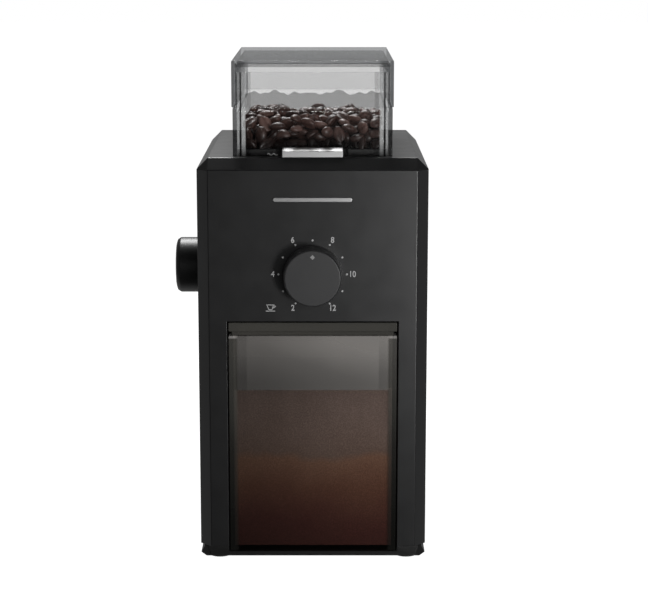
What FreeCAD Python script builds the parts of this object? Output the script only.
import FreeCAD, Part
import math
import os
import re
import Sketcher

# Burr coffee grinder, millimetres. Origin: centre of the body's footprint, on the table.
# +Z is up, the dial and the coffee container face -Y, the fineness knob is on the -X side.

doc = FreeCAD.newDocument("CoffeeGrinder")
sheet = doc.addObject("Spreadsheet::Sheet", "Sizes")

# ---------------------------------------------------------------- driving sizes
SIZES = {
    # casing
    "body_width": 118, "body_depth": 150, "body_top": 211, "edge_bevel": 5.8, "wall": 2.4,
    "base_top": 7, "foot_proud": 0.5, "foot_length": 12.5, "foot_inset": 10,
    "base_flare": 2.1, "base_notch": 1.9, "base_undercut": 4.5, "base_notch_height": 1,
    # coffee container and its bay
    "container_side_inset": 15.7, "container_bottom": 4.6, "container_height": 122,
    "container_wall": 2.2, "container_front_gap": 0.2, "motor_room": 15,
    "lid_bar": 4.7, "lid_neck": 2.2, "lid_plug": 3.2, "lid_neck_inset": 1.6, "slide_gap": 0.6,
    "bay_wall": 2, "chute_width": 26, "chute_depth": 14, "chute_wall": 1.6,
    # bean hopper
    "hopper_side_inset": 18.3, "hopper_front_inset": 11.1, "hopper_rear_inset": 21.8,
    "hopper_wall": 2.1, "hopper_height": 24.5, "hopper_neck": 18, "hopper_lid_height": 24,
    "hopper_lid_wall": 1.8, "lid_gap": 0.4, "lid_overhang": 0.5, "funnel_lip": 3.4,
    "throat_radius": 12, "throat_wall": 1.5, "funnel_wall": 1.8, "funnel_gap": 0.3,
    # start button
    "button_width": 31, "button_depth": 8, "button_front_inset": 6.2, "button_proud": 3.1,
    "button_slope": 1.1, "button_travel": 2, "button_gap": 0.3, "switch_height": 14,
    # quantity dial
    "dial_radius": 14.9, "dial_length": 12.3, "dial_height": 151.9, "dial_stand_off": 0.5,
    "dial_shaft_radius": 3, "timer_size": 28, "timer_depth": 15, "board_gap": 4,
    "board_thickness": 1.6,
    # fineness knob and its drive
    "knob_radius": 14.8, "knob_length": 14.2, "knob_height": 147.2, "knob_behind_front": 57,
    "knob_shaft_radius": 3.5, "fine_teeth": 10, "fine_module": 0.8, "rack_width": 4.5,
    "rack_inset": 11.35, "pin_radius": 1.5, "knob_swing": 150, "burr_travel": 1,
    # grinding chamber
    "spindle_behind_front": 77, "chamber_radius": 31, "chamber_wall": 2.5,
    "chamber_height": 42, "burr_radius": 24, "burr_height": 6, "burr_gap": 0.9,
    "upper_bore": 12, "grooves": 24, "groove_width": 1.1, "groove_depth": 0.8,
    "spindle_radius": 4, "running_gap": 0.08, "clear_gap": 0.35, "bush_wall": 2,
    # gear train
    "gearbox_height": 21.3, "gearbox_plate": 2.5, "gearbox_wall": 2,
    "pinion_teeth": 12, "idler_teeth": 45, "small_teeth": 12, "spindle_teeth": 42,
    "fast_module": 0.8, "slow_module": 1, "gear_width": 5.5, "backlash": 0.2,
    # motor
    "motor_behind": 32, "stator_size": 50, "stator_height": 40, "stator_bottom": 46,
    "rotor_radius": 15, "air_gap": 0.6, "motor_shaft_radius": 2.5, "fan_radius": 19,
    "bolt_radius": 1.7, "bolt_side": 22,
    # cooling slots, screws and cord gland
    "vent_half": 24, "vent_low": 50, "vent_pitch": 7, "vent_height": 3, "vent_count": 7,
    "screw_head": 1.6, "rear_screw_inset": 14, "board_half": 36,
    "gland_side": 35, "gland_height": 24, "gland_bore": 3.6, "gland_flange": 8,
    "gland_proud": 3, "gland_length": 12,
}
for row, (alias, number) in enumerate(SIZES.items(), start=1):
    sheet.set("A%d" % row, alias)
    sheet.set("B%d" % row, str(number))
    sheet.setAlias("B%d" % row, alias)
doc.recompute()

# ---------------------------------------------------------------- places worked out from them
PLACES = {
    "half_width": "body_width/2",
    "front_y": "-body_depth/2",
    "rear_y": "body_depth/2",
    "side_x": "half_width - wall",
    "inner_front": "front_y + wall",
    "inner_rear": "rear_y - wall",
    "inner_bevel": "edge_bevel - 0.586*wall",
    "bevel_z": "body_top - edge_bevel",
    # container
    "cup_x": "half_width - container_side_inset",
    "cup_front": "front_y + container_front_gap",
    "cup_back": "motor_y - stator_size/2 - motor_room",
    "cup_top": "container_bottom + container_height",
    "cup_rim": "cup_top - lid_bar - lid_neck",
    "bay_x": "cup_x + slide_gap",
    "bay_back": "cup_back + slide_gap",
    "bay_top": "cup_top + slide_gap",
    # hopper
    "hopper_x": "half_width - hopper_side_inset",
    "hopper_front": "front_y + hopper_front_inset",
    "hopper_back": "rear_y - hopper_rear_inset",
    "hopper_top": "body_top + hopper_height",
    "hopper_in": "hopper_x - hopper_wall",
    "neck_inset": "hopper_lid_wall + lid_gap - lid_overhang",
    "lid_x": "hopper_x + lid_overhang",
    "lid_front": "hopper_front - lid_overhang",
    "lid_back": "hopper_back + lid_overhang",
    # button
    "button_x": "button_width/2",
    "button_front": "front_y + button_front_inset",
    "button_back": "button_front + button_depth",
    "stem_y": "button_back - 1.7",
    "flange_top": "body_top - wall - button_gap",
    "switch_top": "flange_top - 12.3",
    "board_front": "inner_front + board_gap",
    "board_back": "board_front + board_thickness",
    # grinding axis, gears and motor
    "spindle_y": "front_y + spindle_behind_front",
    "motor_y": "rear_y - motor_behind",
    "gearbox_z": "bay_top + bay_wall",
    "cover_z": "gearbox_z + gearbox_height",
    "chamber_top": "cover_z + chamber_height",
    "chamber_in": "chamber_radius - chamber_wall",
    "fast_reach": "fast_module*(pinion_teeth + idler_teeth)/2",
    "slow_reach": "slow_module*(small_teeth + spindle_teeth)/2",
    "axis_gap": "motor_y - spindle_y",
    "idler_along": "(slow_reach^2 - fast_reach^2 + axis_gap^2)/(2*axis_gap)",
    "idler_x": "sqrt(slow_reach^2 - idler_along^2)",
    "idler_y": "spindle_y + idler_along",
    "fast_z": "gearbox_z + gearbox_plate + 1.5",
    "slow_z": "fast_z + gear_width + 2.2",
    "lower_burr_z": "cover_z + 7",
    "lower_burr_top": "lower_burr_z + burr_height",
    "upper_burr_z": "lower_burr_top + burr_gap",
    "carrier_web": "upper_burr_z + burr_height",
    "pin_z": "carrier_web + 7.1",
    "ring_in": "chamber_radius + clear_gap",
    "ring_out": "ring_in + 4.2",
    "ring_z": "pin_z - 5",
    "ring_top": "pin_z + 6",
    # fineness drive
    "knob_y": "front_y + knob_behind_front",
    "rack_x": "-(side_x - rack_inset)",
    "fine_reach": "fine_module*fine_teeth/2",
    "rack_pitch_z": "knob_height + fine_reach",
    "rack_top": "rack_pitch_z + 5.1",
    "chute_front": "chute_back - chute_depth",
    "chute_back": "spindle_y - chamber_radius - 1",
}
WORD = re.compile(r"[a-z_][a-z_0-9]*")


def expand(text):
    """Turn size and place names into references to the sheet's cells."""
    def swap(match):
        word = match.group(0)
        if word in PLACES:
            return "(" + expand(PLACES[word]) + ")"
        if word in SIZES:
            return "Sizes." + word
        return word
    return WORD.sub(swap, str(text))


def value(text):
    """The number that an expression has now."""
    return float(sheet.evalExpression(expand(text)))


def bind(thing, prop, text):
    thing.setExpression(prop, expand(text))


def place(thing, x="0", y="0", z="0", turn=None):
    """Bind a placement's base; turn is (axis, degrees) about it."""
    if turn:
        thing.Placement = FreeCAD.Placement(FreeCAD.Vector(), FreeCAD.Rotation(*turn))
    bind(thing, "Placement.Base.x", x)
    bind(thing, "Placement.Base.y", y)
    bind(thing, "Placement.Base.z", z)
    return thing


# ---------------------------------------------------------------- shape helpers
X_AXIS = FreeCAD.Vector(1, 0, 0)
Y_AXIS = FreeCAD.Vector(0, 1, 0)
Z_AXIS = FreeCAD.Vector(0, 0, 1)
TURNS = {"Z": None, "X": (Y_AXIS, 90), "Y": (X_AXIS, -90)}
serial = 0


def add(kind, name=None):
    """A new document object; helpers without a name are numbered."""
    global serial
    serial += 1
    thing = doc.addObject(kind, name or "Shape%03d" % serial)
    if name:
        thing.Label = name
    return thing


def block(x, y, z, name=None):
    """A box between pairs of expressions."""
    thing = add("Part::Box", name)
    for prop, (low, high) in (("Length", x), ("Width", y), ("Height", z)):
        bind(thing, prop, "(%s) - (%s)" % (high, low))
    return place(thing, x[0], y[0], z[0])


def wide(half, y, z, name=None):
    """A box centred on x = 0."""
    return block(("-(%s)" % half, half), y, z, name)


def rod(radius, length, x="0", y="0", z="0", axis="Z", name=None):
    thing = add("Part::Cylinder", name)
    bind(thing, "Radius", radius)
    bind(thing, "Height", length)
    return place(thing, x, y, z, TURNS[axis])


def frustum(low, high, z):
    """A tapered block: low and high are (x0, x1, y0, y1) at the two heights in z."""
    thing = add("Part::Wedge")
    bind(thing, "Xmin", low[0])
    bind(thing, "Xmax", low[1])
    bind(thing, "Zmin", "-(%s)" % low[3])
    bind(thing, "Zmax", "-(%s)" % low[2])
    bind(thing, "X2min", high[0])
    bind(thing, "X2max", high[1])
    bind(thing, "Z2min", "-(%s)" % high[3])
    bind(thing, "Z2max", "-(%s)" % high[2])
    thing.Ymin = 0
    bind(thing, "Ymax", "(%s) - (%s)" % (z[1], z[0]))
    return place(thing, z=z[0], turn=(X_AXIS, 90))


def join(*parts, name=None):
    if len(parts) == 1:
        return parts[0]
    thing = add("Part::MultiFuse", name)
    thing.Shapes = list(parts)
    thing.Refine = True
    return thing


def cut(base, *tools, name=None):
    thing = add("Part::Cut", name)
    thing.Base = base
    thing.Tool = join(*tools)
    thing.Refine = True
    return thing


def common(*parts, name=None):
    thing = add("Part::MultiCommon", name)
    thing.Shapes = list(parts)
    return thing


def group(*parts, name):
    """Identical loose pieces kept as separate solids in one node."""
    thing = add("Part::Compound", name)
    thing.Links = list(parts)
    return thing


def outline(body, points, role):
    """A closed sketch whose corners are bound to expressions."""
    plane = [item for item in body.Origin.OriginFeatures if item.Role == role][0]
    sketch = body.newObject("Sketcher::SketchObject", body.Name + "Sketch")
    sketch.AttachmentSupport = [(plane, "")]
    sketch.MapMode = "FlatFace"
    now = [FreeCAD.Vector(value(a), value(b), 0) for a, b in points]
    count = len(points)
    for i in range(count):
        sketch.addGeometry(Part.LineSegment(now[i], now[(i + 1) % count]), False)
    for i in range(count):
        sketch.addConstraint(Sketcher.Constraint("Coincident", i, 2, (i + 1) % count, 1))
    for i, pair in enumerate(points):
        for kind, text, number in zip(("DistanceX", "DistanceY"), pair, now[i]):
            spot = sketch.addConstraint(Sketcher.Constraint(kind, -1, 1, i, 1, number))
            bind(sketch, "Constraints[%d]" % spot, text)
    return sketch


def turned(profile, x="0", y="0", z="0", axis="Z", name=None):
    """A turned piece: profile points are (radius, height)."""
    body = add("PartDesign::Body", name)
    feature = body.newObject("PartDesign::Revolution", body.Name + "Turn")
    sketch = outline(body, profile, "XZ_Plane")
    feature.Profile = sketch
    feature.ReferenceAxis = (sketch, ["V_Axis"])
    feature.Angle = 360
    body.Tip = feature
    return place(body, x, y, z, TURNS[axis])


def bevelled_box(half_x, half_y, z0, z1, bevel, name=None):
    """A padded box with its upright edges and its top edges bevelled."""
    body = add("PartDesign::Body", name)
    corners = [("-(%s)" % half_x, "-(%s)" % half_y), (half_x, "-(%s)" % half_y),
               (half_x, half_y), ("-(%s)" % half_x, half_y)]
    sketch = outline(body, corners, "XY_Plane")
    pad = body.newObject("PartDesign::Pad", body.Name + "Pad")
    pad.Profile = sketch
    bind(pad, "Length", "(%s) - (%s)" % (z1, z0))
    place(body, z=z0)
    doc.recompute()
    height = value(z1) - value(z0)
    edges = []
    for number, edge in enumerate(pad.Shape.Edges, start=1):
        heights = [vertex.Point.z for vertex in edge.Vertexes]
        if max(heights) > height - 0.01:
            edges.append("Edge%d" % number)
    chamfer = body.newObject("PartDesign::Chamfer", body.Name + "Bevel")
    chamfer.Base = (pad, edges)
    bind(chamfer, "Size", bevel)
    body.Tip = chamfer
    return body


def gear_face(teeth, module, phase, thinning):
    """The outline of a spur gear as a face; phase is where one tooth points, in degrees."""
    pitch = module*teeth/2
    base = pitch*math.cos(math.radians(20))
    radii = [pitch - 1.2*module, max(base, pitch - module), pitch, pitch + 0.85*module]
    involute_pitch = math.tan(math.radians(20)) - math.radians(20)
    half = math.pi/(2*teeth) - thinning/(2*pitch)
    flank = []
    for radius in radii:
        slope = math.acos(min(1, base/radius))
        flank.append((radius, half + involute_pitch - (math.tan(slope) - slope)))
    corners = []
    for tooth in range(teeth):
        middle = math.radians(phase) + 2*math.pi*tooth/teeth
        for radius, angle in flank:
            corners.append((radius, middle - angle))
        for radius, angle in reversed(flank):
            corners.append((radius, middle + angle))
    points = [FreeCAD.Vector(r*math.cos(a), r*math.sin(a), 0) for r, a in corners]
    return Part.Face(Part.makePolygon(points + points[:1]))


def gear_solid(teeth, module, width, phase, bore, z=0):
    """A spur gear standing on z with a round bore."""
    solid = gear_face(teeth, module, phase, value("backlash")).extrude(Z_AXIS*width)
    solid.translate(Z_AXIS*z)
    if bore:
        solid = solid.cut(Part.makeCylinder(bore, width + 2, FreeCAD.Vector(0, 0, z - 1)))
    return solid


def feature(name, shape, x="0", y="0", z="0", turn=None):
    """A piece whose shape is worked out in code."""
    thing = add("Part::Feature", name)
    thing.Shape = shape
    return place(thing, x, y, z, turn)


def screws(name, spots, head, shank, length, axis="Z"):
    """Pan-head screws: each head stands on its spot, and its shank runs back from there."""
    made = []
    along = "XYZ".index(axis)
    for spot in spots:
        tip = list(spot)
        tip[along] = "(%s) - (%s)" % (spot[along], length)
        made.append(join(rod(head, "screw_head", *spot, axis), rod(shank, length, *tip, axis)))
    return group(*made, name=name)


# ---------------------------------------------------------------- casing
envelope = bevelled_box("half_width", "body_depth/2", "base_top", "body_top", "edge_bevel")
core = bevelled_box("side_x", "inner_rear", "base_top - 1", "body_top - wall", "inner_bevel")
shell = cut(envelope, core)
panel_z = ("base_top", "bevel_z")

# front panel, with the container's doorway, the dial's hole and four board posts
front_slab = wide("half_width + 1", ("front_y - 1", "front_y + edge_bevel"), panel_z)
doorway = wide("bay_x", ("front_y - 2", "front_y + 20"), ("base_top - 1", "bay_top"))
dial_hole = rod("dial_shaft_radius + clear_gap", "wall + 2", "0", "front_y - 1", "dial_height", "Y")
board_spots = [(sx + "30", z) for sx in ("-", "") for z in ("dial_height - 17", "dial_height + 33")]
posts = [rod("3", "board_gap", x, "inner_front", z, "Y") for x, z in board_spots]
front_panel = join(cut(common(shell, front_slab), doorway, dial_hole), *posts, name="front_panel")

# side panels
side_y = ("front_y + edge_bevel", "rear_y - edge_bevel")
left_slab = block(("-half_width - 1", "0"), side_y, panel_z)
knob_hole = rod("knob_shaft_radius + clear_gap", "wall + 2", "-half_width - 1", "knob_y", "knob_height", "X")
left_side_panel = cut(common(shell, left_slab), knob_hole, name="left_side_panel")
right_slab = block(("0", "half_width + 1"), side_y, panel_z)
right_side_panel = common(shell, right_slab, name="right_side_panel")

# rear cover with cooling slots, the gland's hole and its screw holes
rear_slab = wide("half_width + 1", ("rear_y - edge_bevel", "rear_y + 1"), panel_z)
slots = []
for step in range(int(value("vent_count"))):
    slot_low = "vent_low + %d*vent_pitch" % step
    slots.append(wide("vent_half", ("rear_y - 8", "rear_y + 1"), (slot_low, "%s + vent_height" % slot_low)))
gland_hole = rod("gland_bore + 2", "wall + 2", "gland_side", "inner_rear - 1", "gland_height", "Y")
rear_spots = [(sx + "(half_width - rear_screw_inset)", "rear_y", z)
              for sx in ("-", "") for z in ("base_top + 12", "bevel_z - 12")]
rear_holes = [rod("1.6", "wall + 2", x, "inner_rear - 1", z, "Y") for x, _, z in rear_spots]
rear_cover = cut(common(shell, rear_slab), gland_hole, *slots, *rear_holes, name="rear_cover")
rear_cover_screws = screws("rear_cover_screws", rear_spots, "3", "1.5", "9", "Y")

# top cover: the bevelled cap, open under the hopper and at the button
cap_slab = wide("half_width + 1", ("front_y - 1", "rear_y + 1"), ("bevel_z", "body_top + 1"))
seat_y = ("hopper_front + hopper_wall + 0.4", "hopper_back - hopper_wall - 0.4")
seat_hole = wide("hopper_in - 0.4", seat_y, ("body_top - 20", "body_top + 1"))
button_slot = wide("button_x + button_gap", ("button_front - button_gap", "button_back + button_gap"),
                   ("body_top - 20", "body_top + 1"))
top_cover = cut(common(shell, cap_slab), seat_hole, button_slot, name="top_cover")

# base plate: flared foot with a bevel under it, recessed under the container
half_y = "body_depth/2"


def footprint(inset):
    return ("-(half_width - %s)" % inset, "half_width - %s" % inset,
            "-(%s - %s)" % (half_y, inset), "%s - %s" % (half_y, inset))


low_foot = frustum(footprint("base_undercut"), footprint("0"), ("foot_proud", "base_flare"))
high_foot = frustum(footprint("0"), footprint("base_notch"),
                    ("base_flare", "base_top - base_notch_height"))
collar = wide("half_width - base_notch", ("-(%s - base_notch)" % half_y, "%s - base_notch" % half_y),
              ("base_top - base_notch_height", "base_top"))
foot_limits = bevelled_box("half_width", half_y, "0", "body_top", "edge_bevel")
recess = wide("bay_x", ("front_y - 2", "bay_back"), ("container_bottom - clear_gap", "base_top + 1"))
foot_spots = [(sx + "(half_width - foot_inset)", sy + "(%s - foot_inset)" % half_y)
              for sx in ("-", "") for sy in ("-", "")]
foot_pockets = [rod("foot_length/2", "foot_proud + 1", x, y, "0") for x, y in foot_spots]
base_plate = cut(common(join(low_foot, high_foot, collar), foot_limits), recess, *foot_pockets,
                 name="base_plate")
feet = [rod("foot_length/2", "foot_proud + 1", x, y, "0") for x, y in foot_spots]
rubber_feet = group(*feet, name="rubber_feet")

# cord gland: a flanged rubber bush in the rear cover
gland = join(rod("gland_flange", "gland_proud", "gland_side", "rear_y", "gland_height", "Y"),
             rod("gland_bore + 2", "gland_length - gland_proud", "gland_side",
                 "rear_y + gland_proud - gland_length", "gland_height", "Y"))
gland_tunnel = rod("gland_bore", "gland_length + 4", "gland_side",
                   "rear_y + gland_proud - gland_length - 2", "gland_height", "Y")
cord_gland = cut(gland, gland_tunnel, name="cord_gland")

# ---------------------------------------------------------------- container bay
bay_outer = wide("bay_x + bay_wall", ("inner_front", "bay_back + bay_wall"),
                 ("base_top", "bay_top + bay_wall"))
bay_inner = wide("bay_x", ("front_y - 2", "bay_back"), ("base_top - 1", "bay_top"))
chute_slot = wide("chute_width/2", ("chute_front", "chute_back"), ("bay_top - 1", "bay_top + 4"))
switch_slot = block(("26", "32"), ("bay_back - 1", "bay_back + 4"), ("94", "104"))
container_bay = cut(bay_outer, bay_inner, chute_slot, switch_slot, name="container_bay")

# container: an open box with a lid that has the chute's opening
cup_outer = wide("cup_x", ("cup_front", "cup_back"), ("container_bottom", "cup_rim"))
cup_inner = wide("cup_x - container_wall", ("cup_front + container_wall", "cup_back - container_wall"),
                 ("container_bottom + container_wall", "cup_rim + 1"))
ground_container = cut(cup_outer, cup_inner, name="ground_container")


def lid_layer(inset, low, high):
    return wide("cup_x - (%s)" % inset, ("cup_front + (%s)" % inset, "cup_back - (%s)" % inset),
                (low, high))


lid_block = join(lid_layer("0", "cup_top - lid_bar", "cup_top"),
                 lid_layer("lid_neck_inset", "cup_rim", "cup_top - lid_bar"),
                 lid_layer("container_wall + 0.3", "cup_rim - lid_plug", "cup_rim"))
lid_hollow = lid_layer("container_wall + 2.3", "cup_rim - lid_plug - 1", "cup_top - 2.2")
lid_mouth = wide("chute_width/2 - 0.5", ("chute_front + 0.5", "chute_back - 0.5"),
                 ("cup_rim - 6", "cup_top + 1"))
container_lid = cut(lid_block, lid_hollow, lid_mouth, name="container_lid")

container_switch = join(block(("24", "34"), ("bay_back + bay_wall", "bay_back + bay_wall + 7"),
                              ("90", "108")),
                        block(("27", "31"), ("bay_back + 0.1", "bay_back + bay_wall"), ("97", "101")),
                        name="container_switch")

# ---------------------------------------------------------------- bean hopper
def hopper_layer(inset, low, high):
    return wide("hopper_x - (%s)" % inset,
                ("hopper_front + (%s)" % inset, "hopper_back - (%s)" % inset), (low, high))


notch_x = "button_x + 0.6"
notch_back = "button_back + 0.6"
notch_top = "body_top + button_proud + button_slope + 0.8"
clear_outer = join(hopper_layer("0", "body_top", "hopper_top"),
                   hopper_layer("neck_inset", "hopper_top", "hopper_top + hopper_neck"))
clear_inner = cut(join(hopper_layer("hopper_wall", "body_top - 1", "hopper_top - 2"),
                       hopper_layer("neck_inset + hopper_lid_wall", "body_top - 1",
                                    "hopper_top + hopper_neck + 1")),
                  wide("%s + 1.6" % notch_x, ("hopper_front - 1", "%s + 1.6" % notch_back),
                       ("body_top - 2", "%s + 1.6" % notch_top)))
notch = wide(notch_x, ("hopper_front - 1", notch_back), ("body_top - 1", notch_top))
bean_container = cut(clear_outer, clear_inner, notch, name="bean_container")

lid_low = "hopper_top + lid_gap"
lid_high = "hopper_top + hopper_lid_height"


def cap_layer(inset, low, high):
    return wide("lid_x - (%s)" % inset, ("lid_front + (%s)" % inset, "lid_back - (%s)" % inset),
                (low, high))


hopper_lid = cut(cap_layer("0", lid_low, lid_high),
                 cap_layer("hopper_lid_wall", "%s - 1" % lid_low, "%s - hopper_lid_wall" % lid_high),
                 name="hopper_lid")

# funnel: a black lip inside the clear walls, sloping down to the throat over the burrs
lip = hopper_layer("hopper_wall + funnel_gap", "body_top", "body_top + funnel_lip")
mouth_y = ("hopper_front + hopper_wall + 0.7", "hopper_back - hopper_wall - 0.7")
lip_x = "hopper_in - 0.7"
throat_out = "throat_radius + throat_wall"
bottom = ("-28", "28", "spindle_y - 28", "spindle_y + 28")
slope_out = frustum(bottom, ("-(%s)" % lip_x, lip_x, mouth_y[0], mouth_y[1]),
                    ("chamber_top", "body_top"))
throat_tube = rod(throat_out, "16", "0", "spindle_y", "chamber_top - 12")
inner_bottom = ("-throat_radius", "throat_radius", "spindle_y - throat_radius",
                "spindle_y + throat_radius")
inner_x = "hopper_in - 2"
inner_top = ("-(%s)" % inner_x, inner_x, "%s + 3" % notch_back, "hopper_back - hopper_wall - 2")
slope_in = frustum(inner_bottom, inner_top, ("chamber_top + funnel_wall", "body_top + funnel_lip"))
throat_hole = rod("throat_radius", "20", "0", "spindle_y", "chamber_top - 14")
button_bay = wide("%s + 1.9" % notch_x, ("hopper_front - 1", "%s + 1.8" % notch_back),
                  ("chamber_top - 1", "body_top + funnel_lip + 1"))
hopper_funnel = cut(join(lip, slope_out, throat_tube), slope_in, throat_hole, button_bay,
                    name="hopper_funnel")

# ---------------------------------------------------------------- start button
button_top = "body_top + button_proud"
cap = frustum(("-button_x", "button_x", "button_front", "button_back"),
              ("-button_x", "button_x", "button_front + 0.4", "button_back"),
              ("body_top - 1", button_top))
crown = frustum(("-button_x", "button_x", "button_front + 0.4", "button_back"),
                ("-button_x", "button_x", "button_front + 4", "button_back"),
                (button_top, "%s + button_slope" % button_top))
skirt = wide("button_x", ("button_front + 0.9", "button_back"), ("flange_top - 1", "body_top - 1"))
flange = wide("button_x + 1.5", ("button_front + 1.6", "button_back + 1.5"),
              ("flange_top - 1.6", "flange_top"))
stem = rod("1.6", "flange_top - 1.6 - switch_top", "0", "stem_y", "switch_top")
start_button = join(cap, crown, skirt, flange, stem, name="start_button")

switch_body = block(("-9", "9"), ("board_back", "board_back + 10"),
                    ("switch_top - switch_height - button_travel", "switch_top - button_travel - 0.5"))
switch_well = rod("1.6 + clear_gap", "6", "0", "stem_y", "switch_top - button_travel - 3.3")
start_switch = cut(switch_body, switch_well, name="start_switch")
spring_low = value("switch_top - button_travel - 0.5")
spring_high = value("flange_top - 1.6")
wire_radius = 0.35
coil_radius = 2.7
helix = Part.makeHelix((spring_high - spring_low - 2*wire_radius)/5, spring_high - spring_low
                       - 2*wire_radius, coil_radius)
section = Part.Wire(Part.makeCircle(wire_radius, FreeCAD.Vector(coil_radius, 0, 0), Y_AXIS))
spring_shape = Part.Wire(helix).makePipeShell([section], True, True)
button_spring = feature("button_spring", spring_shape, "0", "stem_y",
                        "switch_top - button_travel - 0.5 + %s" % wire_radius)

# ---------------------------------------------------------------- quantity dial and its electronics
dial_profile = [("dial_shaft_radius", "0"), ("dial_radius", "0"), ("dial_radius - 0.25", "dial_length - 0.8"),
                ("dial_radius - 0.9", "dial_length"), ("0", "dial_length"),
                ("0", "dial_length - 3"), ("dial_shaft_radius", "dial_length - 3")]


def knob(profile, x, y, z, turn, name):
    """A turned knob whose height axis is swung by turn."""
    body = turned(profile, name=name)
    return place(body, x, y, z, turn)


quantity_dial = knob(dial_profile, "0", "front_y - dial_stand_off", "dial_height",
                     (X_AXIS, 90), "quantity_dial")
dial_shaft_back = "board_back + timer_depth - 2"
dial_shaft_front = "front_y - dial_stand_off - dial_length + 3"
dial_shaft = rod("dial_shaft_radius", "(%s) - (%s)" % (dial_shaft_back, dial_shaft_front), "0",
                 dial_shaft_front, "dial_height", "Y", name="dial_shaft")
timer_box = wide("timer_size/2", ("board_back", "board_back + timer_depth"),
                 ("dial_height - timer_size/2", "dial_height + timer_size/2"))
timer_bore = rod("dial_shaft_radius + running_gap", "timer_depth + 2", "0", "board_back - 1",
                 "dial_height", "Y")
dial_timer = cut(timer_box, timer_bore, name="dial_timer")
board = wide("board_half", ("board_front", "board_back"), ("gearbox_z + 2", "switch_top"))
board_hole = rod("dial_shaft_radius + 1", "board_thickness + 2", "0", "board_front - 1",
                 "dial_height", "Y")
board_drills = [rod("1.3", "board_thickness + 2", x, "board_front - 1", z, "Y")
                for x, z in board_spots]
control_board = cut(board, board_hole, *board_drills, name="control_board")
relay = block(("18", "30"), ("board_back", "board_back + 12"), ("dial_height + 18", "dial_height + 30"))
capacitor = rod("5", "11", "-24", "board_back", "dial_height + 22", "Y")
fuse_body = rod("2.5", "18", "-33", "board_back + 2.5", "dial_height - 4", "X")
board_components = group(relay, capacitor, fuse_body, name="board_components")
terminal_block = cut(block(("10", "34"), ("inner_rear - 22", "inner_rear - 10"), ("base_top", "base_top + 11")),
                     *[rod("1.8", "14", str(x), "inner_rear - 23", "base_top + 6", "Y")
                       for x in (14, 22, 30)], name="terminal_block")

# ---------------------------------------------------------------- gearbox and gear train
box_x = ("-(slow_module*spindle_teeth/2 + 5.5)", "idler_x + fast_module*idler_teeth/2 + 5")
box_y = ("spindle_y - slow_module*spindle_teeth/2 - 5", "motor_y + 11")
lid_z = "cover_z - gearbox_wall"
plate = block(box_x, (box_y[0], "motor_y + 27"), ("gearbox_z", "gearbox_z + gearbox_plate"))
bush_hole = rod("spindle_radius + bush_wall", "10", "0", "spindle_y", "gearbox_z - 2")
pinion_hole = rod("fast_module*pinion_teeth/2 + 1.7", "10", "0", "motor_y", "gearbox_z - 2")
idler_hole = rod("2.5", "10", "idler_x", "idler_y", "gearbox_z - 2")
gearbox_base = cut(plate, bush_hole, pinion_hole, idler_hole, name="gearbox_base")


def inset_pair(pair, inset):
    return ("%s + %s" % (pair[0], inset), "%s - %s" % (pair[1], inset))


cover_outer = block(box_x, box_y, ("gearbox_z + gearbox_plate", "cover_z"))
cover_inner = block(inset_pair(box_x, "gearbox_wall"), inset_pair(box_y, "gearbox_wall"),
                    ("gearbox_z + gearbox_plate - 1", lid_z))
cover_hole = rod("spindle_radius + bush_wall", "8", "0", "spindle_y", "cover_z - 5")
idler_top = rod("2.5", "8", "idler_x", "idler_y", "cover_z - 5")
cover_spots = [("(%s) + 6" % box_x[0], "(%s) - 6" % box_y[1], "cover_z"),
               ("(%s) - 6" % box_x[1], "(%s) - 6" % box_y[1], "cover_z")]
cover_drills = [rod("1.4", "gearbox_wall + 2", x, y, "%s - 1" % lid_z) for x, y, _ in cover_spots]
gearbox_cover = cut(cover_outer, cover_inner, cover_hole, idler_top, *cover_drills,
                    name="gearbox_cover")
gearbox_screws = screws("gearbox_screws", cover_spots, "3", "1.4", "6")

spindle_profile = [("0", "0"), ("spindle_radius", "0"),
                   ("spindle_radius", "lower_burr_top - gearbox_z - 0.8"),
                   ("0", "lower_burr_top - gearbox_z - 0.8")]
grinder_spindle = turned(spindle_profile, "0", "spindle_y", "gearbox_z + 0.8", name="grinder_spindle")
bushes = []
for low, high in (("gearbox_z + 0.2", "gearbox_z + gearbox_plate + 0.8"),
                  (lid_z, "cover_z + 2.5")):
    tube = rod("spindle_radius + bush_wall", "(%s) - (%s)" % (high, low), "0", "spindle_y", low)
    hole = rod("spindle_radius + running_gap", "(%s) - (%s) + 2" % (high, low), "0", "spindle_y",
               "(%s) - 1" % low)
    bushes.append(cut(tube, hole))
spindle_bushes = group(*bushes, name="spindle_bushes")

idler = FreeCAD.Vector(value("idler_x"), value("idler_y"), 0)
motor = FreeCAD.Vector(0, value("motor_y"), 0)
spindle = FreeCAD.Vector(0, value("spindle_y"), 0)


def heading(start, end):
    return math.degrees(math.atan2(end.y - start.y, end.x - start.x))


def facing_gap(teeth):
    """Turn a gear so that a gap, not a tooth, faces its partner."""
    return 180 - 180/teeth


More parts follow.
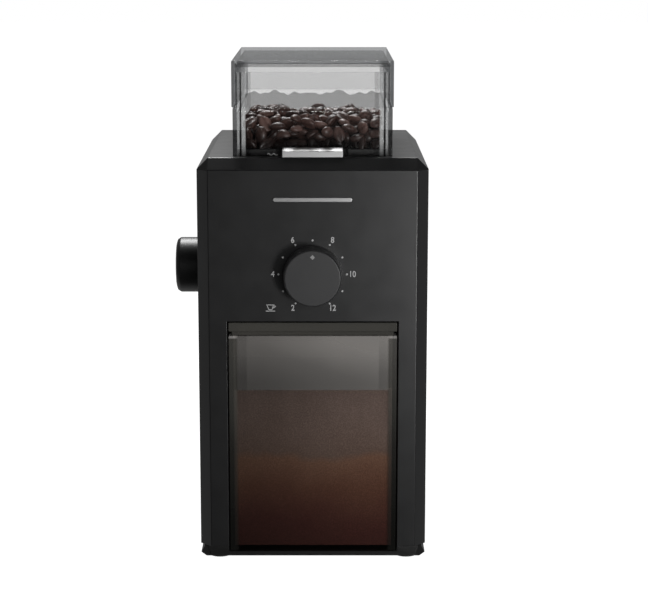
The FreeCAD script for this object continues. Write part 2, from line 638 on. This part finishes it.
width = value("gear_width")
teeth = {key: int(value(key)) for key in ("pinion_teeth", "idler_teeth", "small_teeth", "spindle_teeth")}
to_idler = heading(motor, idler)
to_spindle = heading(idler, spindle)
motor_pinion = feature("motor_pinion",
                       gear_solid(teeth["pinion_teeth"], value("fast_module"), width + 1, to_idler,
                                  value("motor_shaft_radius")),
                       "0", "motor_y", "fast_z - 0.5")
idler_bore = 2.5 + value("running_gap")
big_wheel = gear_solid(teeth["idler_teeth"], value("fast_module"), width,
                       to_idler + facing_gap(teeth["idler_teeth"]), idler_bore)
small_wheel = gear_solid(teeth["small_teeth"], value("slow_module"), width + 1.5, to_spindle,
                         idler_bore, width + 1.5)
hub = Part.makeCylinder(4.3, 1.5, Z_AXIS*width).cut(Part.makeCylinder(idler_bore, 3, Z_AXIS*(width - 1)))
idler_gear = feature("idler_gear", big_wheel.fuse([hub, small_wheel]).removeSplitter(), "idler_x",
                     "idler_y", "fast_z")
spindle_gear = feature("spindle_gear",
                       gear_solid(teeth["spindle_teeth"], value("slow_module"), width,
                                  to_spindle + facing_gap(teeth["spindle_teeth"]),
                                  value("spindle_radius")),
                       "0", "spindle_y", "slow_z")
idler_pin = rod("2.5", "gearbox_height", "idler_x", "idler_y", "gearbox_z", name="idler_pin")

# ---------------------------------------------------------------- grinding chamber
chamber_body = join(rod("chamber_radius", "chamber_height", "0", "spindle_y", "cover_z"),
                    rod("chamber_radius + 3", "2", "0", "spindle_y", "ring_z - 2.4"))
chamber_room = rod("chamber_in", "chamber_height", "0", "spindle_y", "cover_z + 2.5")
chamber_bore = rod("spindle_radius + bush_wall", "6", "0", "spindle_y", "cover_z - 1")
window = wide("chute_width/2 - chute_wall", ("spindle_y - chamber_radius - 4", "spindle_y - 20"),
              ("cover_z + 2.5", "cover_z + 14"))
pin_angles = (90, 210, 330)
pin_slots = []
for angle in pin_angles:
    slot = add("Part::Box")
    bind(slot, "Length", "14")
    bind(slot, "Width", "2*(pin_radius + 0.1)")
    bind(slot, "Height", "2*(pin_radius + 0.1) + burr_travel + 0.4")
    swing = FreeCAD.Rotation(Z_AXIS, angle)
    offset = swing.multVec(FreeCAD.Vector(value("chamber_in") - 4, -value("pin_radius + 0.1"), 0))
    place(slot, "%r" % offset.x, "spindle_y + %r" % offset.y,
          "pin_z - pin_radius - 0.1 - burr_travel/2 - 0.2", (Z_AXIS, angle))
    pin_slots.append(slot)
burr_chamber = cut(chamber_body, chamber_room, chamber_bore, window, *pin_slots, name="burr_chamber")

chute_z = ("bay_top", "cover_z + 15")
chute_duct = wide("chute_width/2 - 0.2", ("chute_front + 0.2", "chute_back - 0.2"), chute_z)
chute_inner = wide("chute_width/2 - chute_wall", ("chute_front + chute_wall", "chute_back - chute_wall"),
                   ("bay_top - 1", "cover_z + 13.4"))
chute_link = wide("chute_width/2 - 0.2", ("chute_back - 0.2", "spindle_y - 20"),
                  ("cover_z + 0.6", "cover_z + 15"))
chute_link_inner = wide("chute_width/2 - chute_wall", ("chute_back - 6", "spindle_y - 10"),
                        ("cover_z + 2.5", "cover_z + 13.4"))
around_chamber = rod("chamber_radius + 0.1", "chamber_height", "0", "spindle_y", "cover_z - 2")
coffee_chute = cut(join(chute_duct, chute_link), chute_inner, chute_link_inner, around_chamber,
                   name="coffee_chute")

# burrs: flat rings with slanted cutting grooves
def burr_shape(bore, face_up):
    height = value("burr_height")
    radius = value("burr_radius")
    solid = Part.makeCylinder(radius, height).cut(Part.makeCylinder(bore, height + 2, Z_AXIS*-1))
    face = height if face_up else 0
    grooves = []
    count = int(value("grooves"))
    deep = value("groove_depth")
    for step in range(count):
        corner = FreeCAD.Vector(bore + 1.5, 3, face - deep)
        groove = Part.makeBox(radius, value("groove_width"), 2*deep, corner)
        groove.rotate(FreeCAD.Vector(), Z_AXIS, 360*step/count)
        grooves.append(groove)
    return solid.cut(grooves)


lower_burr = feature("lower_burr", burr_shape(value("spindle_radius"), True), "0", "spindle_y",
                     "lower_burr_z")
upper_burr = feature("upper_burr", burr_shape(value("upper_bore"), False), "0", "spindle_y",
                     "upper_burr_z")
paddle_low = "lower_burr_z - 3"
disc = rod("burr_radius", "3", "0", "spindle_y", paddle_low)
paddles = []
for angle in (0, 120, 240):
    paddle = add("Part::Box")
    bind(paddle, "Length", "chamber_in - clear_gap - burr_radius + 4")
    bind(paddle, "Width", "2")
    bind(paddle, "Height", "3")
    spot = FreeCAD.Rotation(Z_AXIS, angle).multVec(FreeCAD.Vector(value("burr_radius") - 4.2, -1, 0))
    place(paddle, "%r" % spot.x, "spindle_y + %r" % spot.y, paddle_low, (Z_AXIS, angle))
    paddles.append(paddle)
disc_bore = rod("spindle_radius", "5", "0", "spindle_y", "%s - 1" % paddle_low)
lower_burr_carrier = cut(join(disc, *paddles), disc_bore, name="lower_burr_carrier")

cone = Part.makeCone(6, 2.5, 9)
fins = []
for step in range(2):
    fin = Part.makeBox(8.5, 2, 5)
    fin.translate(FreeCAD.Vector(0, -1, 0))
    fin.rotate(FreeCAD.Vector(), Z_AXIS, 180*step)
    fins.append(fin)
bean_feeder = feature("bean_feeder", cone.fuse(fins), "0", "spindle_y", "lower_burr_top")

carrier_profile = [("%s + 0.5" % throat_out, "0"), ("burr_radius + 0.1", "0"),
                   ("burr_radius + 0.1", "-4.5"), ("chamber_in - clear_gap", "-4.5"),
                   ("chamber_in - clear_gap", "10.2"), ("chamber_in - 3.5", "10.2"),
                   ("chamber_in - 3.5", "3"), ("%s + 0.5" % throat_out, "3")]
carrier_body = turned(carrier_profile, "0", "spindle_y", "carrier_web")


def radial_rod(radius, start, end, angle, z):
    """A round pin that points outwards from the grinding axis."""
    swing = FreeCAD.Rotation(Z_AXIS, angle).multiply(FreeCAD.Rotation(Y_AXIS, 90))
    thing = add("Part::Cylinder")
    bind(thing, "Radius", radius)
    bind(thing, "Height", "(%s) - (%s)" % (end, start))
    thing.Placement = FreeCAD.Placement(FreeCAD.Vector(), swing)
    reach = value(start)
    place_x = reach*math.cos(math.radians(angle))
    place_y = reach*math.sin(math.radians(angle))
    bind(thing, "Placement.Base.x", "%r" % place_x)
    bind(thing, "Placement.Base.y", "spindle_y + %r" % place_y)
    bind(thing, "Placement.Base.z", z)
    return thing


pin_start = "chamber_in - 3.2"
pin_end = "ring_out - 0.6"
pins = [radial_rod("pin_radius", pin_start, pin_end, angle, "pin_z") for angle in pin_angles]
carrier_pins = group(*pins, name="carrier_pins")
pin_holes = [radial_rod("pin_radius", pin_start, "chamber_in + 1", angle, "pin_z")
             for angle in pin_angles]
upper_burr_carrier = cut(carrier_body, *pin_holes, name="upper_burr_carrier")

# adjusting ring: sloped slots lift the carrier's pins, a forked lug meets the rack's pin
pin_reach = "side_x - rack_inset"
ring_swing = math.atan2(value("fine_reach")*math.radians(value("knob_swing")), value(pin_reach))
ring_rim = rod("ring_out", "ring_top - ring_z", "0", "spindle_y", "ring_z")
lug = block(("-(%s) - 4" % pin_reach, "-ring_in - 1.5"), ("spindle_y - 4.5", "spindle_y + 4.5"),
            ("pin_z - 1", "pin_z + 4"))
ring_hole = rod("ring_in", "ring_top - ring_z + 2", "0", "spindle_y", "ring_z - 1")
fork = block(("-(%s) - 5" % pin_reach, "-(%s) + 3.4" % pin_reach),
             ("spindle_y - pin_radius - 0.3", "spindle_y + pin_radius + 0.3"),
             ("pin_z - 3", "pin_z + 5"))
lift = value("burr_travel")/2
steps = 4
ramps = []
for angle in pin_angles:
    for step in range(-steps, steps + 1):
        share = step/steps
        turn = angle - math.degrees(ring_swing)*share
        ramps.append(radial_rod("pin_radius + 0.3", "ring_in - 2", "ring_out + 2", turn,
                                "pin_z + %r" % (lift*share)))
adjusting_ring = cut(join(ring_rim, lug), ring_hole, fork, *ramps, name="adjusting_ring")

# ---------------------------------------------------------------- fineness knob, pinion and rack
knob_profile = [("knob_shaft_radius", "0"), ("knob_radius", "0"), ("knob_radius", "knob_length - 2.6"),
                ("knob_radius - 1.1", "knob_length - 0.9"), ("knob_radius - 3", "knob_length - 0.3"),
                ("0", "knob_length"), ("0", "knob_length - 4"), ("knob_shaft_radius", "knob_length - 4")]
fineness_knob = knob(knob_profile, "-half_width - 0.5", "knob_y", "knob_height", (Y_AXIS, -90),
                     "fineness_knob")
shaft_start = "-half_width - 0.5 - knob_length + 4"
shaft_end = "rack_x + rack_width/2 + 6"
fineness_shaft = rod("knob_shaft_radius - 0.6", "(%s) - (%s)" % (shaft_end, shaft_start), shaft_start,
                     "knob_y", "knob_height", "X")
collar_rod = rod("knob_shaft_radius", "knob_length - 4 + wall + 4.5", shaft_start, "knob_y",
                 "knob_height", "X")
fineness_shaft = join(fineness_shaft, collar_rod, name="fineness_shaft")
pinion_x = "rack_x - rack_width/2"
fine_pinion = gear_solid(int(value("fine_teeth")), value("fine_module"), value("rack_width"),
                         180/value("fine_teeth"), value("knob_shaft_radius - 0.6"))
fineness_pinion = feature("fineness_pinion", fine_pinion, pinion_x, "knob_y", "knob_height",
                          (Y_AXIS, 90))

rack_body = block((pinion_x, "rack_x + rack_width/2"), ("knob_y - 18", "spindle_y + 4"),
                  ("rack_pitch_z + fine_module", "rack_top"))
arm = block((pinion_x, "rack_x + rack_width/2"), ("spindle_y - 4", "spindle_y + 4"),
            ("rack_top - 1", "pin_z - 2"))
rack_pin = rod("pin_radius", "8", "rack_x", "spindle_y", "pin_z - 3")
tooth_pitch = math.pi*value("fine_module")
half_tooth = tooth_pitch/4 - value("backlash")/2
module = value("fine_module")
spread = math.tan(math.radians(20))
rack_teeth = []
for step in range(-6, 7):
    middle = step*tooth_pitch
    tip, root = -0.8*module, 1.2*module
    tip_half = half_tooth + tip*spread
    root_half = half_tooth + root*spread
    corners = [(middle - tip_half, tip), (middle + tip_half, tip),
               (middle + root_half, root), (middle - root_half, root)]
    points = [FreeCAD.Vector(0, y, z) for y, z in corners]
    face = Part.Face(Part.makePolygon(points + points[:1]))
    rack_teeth.append(face.extrude(X_AXIS*value("rack_width")))
teeth_piece = feature(None, Part.makeCompound(rack_teeth), pinion_x, "knob_y", "rack_pitch_z")
adjuster_rack = join(rack_body, arm, rack_pin, teeth_piece, name="adjuster_rack")

bracket_plate = block(("rack_x + rack_width/2 + 2", "rack_x + rack_width/2 + 5"),
                      ("knob_y - 15", "knob_y + 15"), ("gearbox_z", "rack_top + 2.5"))
legs = [block(("rack_x - rack_width/2 - 2.5", "rack_x + rack_width/2 + 3"), (low, high),
              ("gearbox_z", "rack_top + 2.5"))
        for low, high in (("knob_y - 15", "knob_y - 9"), ("knob_y + 9", "knob_y + 15"))]
channel = block(("rack_x - rack_width/2 - clear_gap", "rack_x + rack_width/2 + clear_gap"),
                ("knob_y - 20", "knob_y + 20"), ("rack_pitch_z - 1.2", "rack_top + clear_gap"))
arm_path = block(("rack_x - rack_width/2 - clear_gap", "rack_x + rack_width/2 + clear_gap"),
                 ("knob_y + 8", "knob_y + 16"), ("rack_top", "rack_top + 4"))
bracket_bore = rod("knob_shaft_radius - 0.6 + running_gap", "8", "rack_x + rack_width/2", "knob_y",
                   "knob_height", "X")
adjuster_bracket = cut(join(bracket_plate, *legs), channel, arm_path, bracket_bore,
                       name="adjuster_bracket")

# ---------------------------------------------------------------- motor
bracket_low = "stator_bottom - 17"
core_z = ("stator_bottom", "stator_bottom + stator_height")
stator_block = block(("-stator_size/2", "stator_size/2"),
                     ("motor_y - stator_size/2", "motor_y + stator_size/2"), core_z)
stator_bore = rod("rotor_radius + air_gap", "stator_height + 2", "0", "motor_y", "stator_bottom - 1")
coil_x = [("-stator_size/2 + 5", "-rotor_radius - 2.4"), ("rotor_radius + 2.4", "stator_size/2 - 5")]
coil_rooms = [block(pair, ("motor_y - 13", "motor_y + 13"), ("stator_bottom - 1", "stator_bottom + stator_height + 1"))
              for pair in coil_x]
bolt_spots = ("-bolt_side", "bolt_side")
bolt_holes = [rod("bolt_radius", "stator_height + 4", x, "motor_y", "stator_bottom - 2") for x in bolt_spots]
stator_core = cut(stator_block, stator_bore, *coil_rooms, *bolt_holes, name="stator_core")
coils = [block(("%s + 0.2" % pair[0], "%s - 0.2" % pair[1]), ("motor_y - 12.8", "motor_y + 12.8"),
               ("stator_bottom - 6", "stator_bottom + stator_height + 5")) for pair in coil_x]
stator_windings = group(*coils, name="stator_windings")
rotor_stack = rod("rotor_radius", "stator_height - 2", "0", "motor_y", "stator_bottom + 1")
rotor_hole = rod("motor_shaft_radius", "stator_height + 2", "0", "motor_y", "stator_bottom - 1")
rotor_core = cut(rotor_stack, rotor_hole, name="rotor_core")
commutator = cut(rod("8", "11", "0", "motor_y", "stator_bottom - 12"),
                 rod("motor_shaft_radius", "15", "0", "motor_y", "stator_bottom - 14"),
                 name="commutator")
motor_shaft = rod("motor_shaft_radius", "fast_z + gear_width + 1 - (%s) + 3" % bracket_low, "0",
                  "motor_y", "%s - 3" % bracket_low, name="motor_shaft")
fan_z = "stator_bottom + stator_height + 7"
fan_hub = rod("7", "8", "0", "motor_y", fan_z)
fan_disc = rod("fan_radius", "1.5", "0", "motor_y", fan_z)
blades = []
for step in range(9):
    angle = 40*step
    blade = add("Part::Box")
    bind(blade, "Length", "fan_radius - 6.5")
    bind(blade, "Width", "1.4")
    bind(blade, "Height", "7")
    spot = FreeCAD.Rotation(Z_AXIS, angle).multVec(FreeCAD.Vector(6, -0.7, 0))
    place(blade, "%r" % spot.x, "motor_y + %r" % spot.y, "%s + 1" % fan_z, (Z_AXIS, angle))
    blades.append(blade)
fan_bore = rod("motor_shaft_radius", "12", "0", "motor_y", "%s - 1" % fan_z)
cooling_fan = cut(join(fan_hub, fan_disc, *blades), fan_bore, name="cooling_fan")


def motor_bracket(low, name):
    """A bar across the motor that holds a shaft bearing."""
    bar = block(("-stator_size/2", "stator_size/2"), ("motor_y - 7", "motor_y + 7"),
                (low, "%s + 3" % low))
    boss = rod("7", "5", "0", "motor_y", "%s - 1" % low)
    bore = rod("motor_shaft_radius + running_gap", "9", "0", "motor_y", "%s - 3" % low)
    bolts = [rod("bolt_radius", "9", x, "motor_y", "%s - 3" % low) for x in bolt_spots]
    return cut(join(bar, boss), bore, *bolts, name=name)


motor_lower_bracket = motor_bracket(bracket_low, "motor_lower_bracket")
upper_low = "%s + 11" % fan_z
motor_upper_bracket = motor_bracket(upper_low, "motor_upper_bracket")
long_bolts = [rod("bolt_radius", "gearbox_z - (%s)" % bracket_low, x, "motor_y", bracket_low)
              for x in bolt_spots]
motor_bolts = group(*long_bolts, name="motor_bolts")
brush_z = ("stator_bottom - 11.5", "stator_bottom - 8")
brushes = [block(pair, ("motor_y - 3", "motor_y + 3"), brush_z) for pair in (("8", "16"), ("-16", "-8"))]
carbon_brushes = group(*brushes, name="carbon_brushes")
holder_parts = []
for pair in (("10", "18"), ("-18", "-10")):
    sleeve = block(pair, ("motor_y - 4.2", "motor_y + 4.2"), ("stator_bottom - 13", "stator_bottom - 6.5"))
    room = block(("-17", "17"), ("motor_y - 3", "motor_y + 3"), brush_z)
    holder_parts.append(cut(sleeve, room))
brush_holders = group(*holder_parts, name="brush_holders")

# ---------------------------------------------------------------- fasteners
board_screws = screws("board_screws", [(x, "board_back", z) for x, z in board_spots], "2.6", "1.3",
                      "board_thickness", "Y")

# ---------------------------------------------------------------- finished nodes
NODES = [
    base_plate, rubber_feet, front_panel, left_side_panel, right_side_panel, rear_cover,
    rear_cover_screws, top_cover, cord_gland, container_bay, ground_container, container_lid,
    container_switch, bean_container, hopper_lid, hopper_funnel, start_button, start_switch,
    button_spring, quantity_dial, dial_shaft, dial_timer, control_board, board_components,
    terminal_block, gearbox_base, gearbox_cover, gearbox_screws, grinder_spindle, spindle_bushes,
    motor_pinion, idler_gear, spindle_gear, idler_pin, burr_chamber, coffee_chute, lower_burr,
    upper_burr, lower_burr_carrier, bean_feeder, upper_burr_carrier, carrier_pins, adjusting_ring,
    fineness_knob, fineness_shaft, fineness_pinion, adjuster_rack, adjuster_bracket, stator_core,
    stator_windings, rotor_core, commutator, motor_shaft, cooling_fan, motor_lower_bracket,
    motor_upper_bracket, motor_bolts, carbon_brushes, brush_holders, board_screws,
]

doc.recompute()
for thing in doc.Objects:
    if "Invalid" in thing.State or "Error" in thing.State:
        raise RuntimeError("%s did not build: %s" % (thing.Label, thing.State))
for node in NODES:
    if node.Shape.isNull() or not node.Shape.isValid() or not node.Shape.Solids:
        raise RuntimeError("%s has no valid solid" % node.Label)

os.makedirs("parts", exist_ok=True)
for node in NODES:
    node.Shape.exportStep("parts/%s.step" % node.Label)
    print("%-22s solids %2d  volume %9.1f" % (node.Label, len(node.Shape.Solids), node.Shape.Volume))
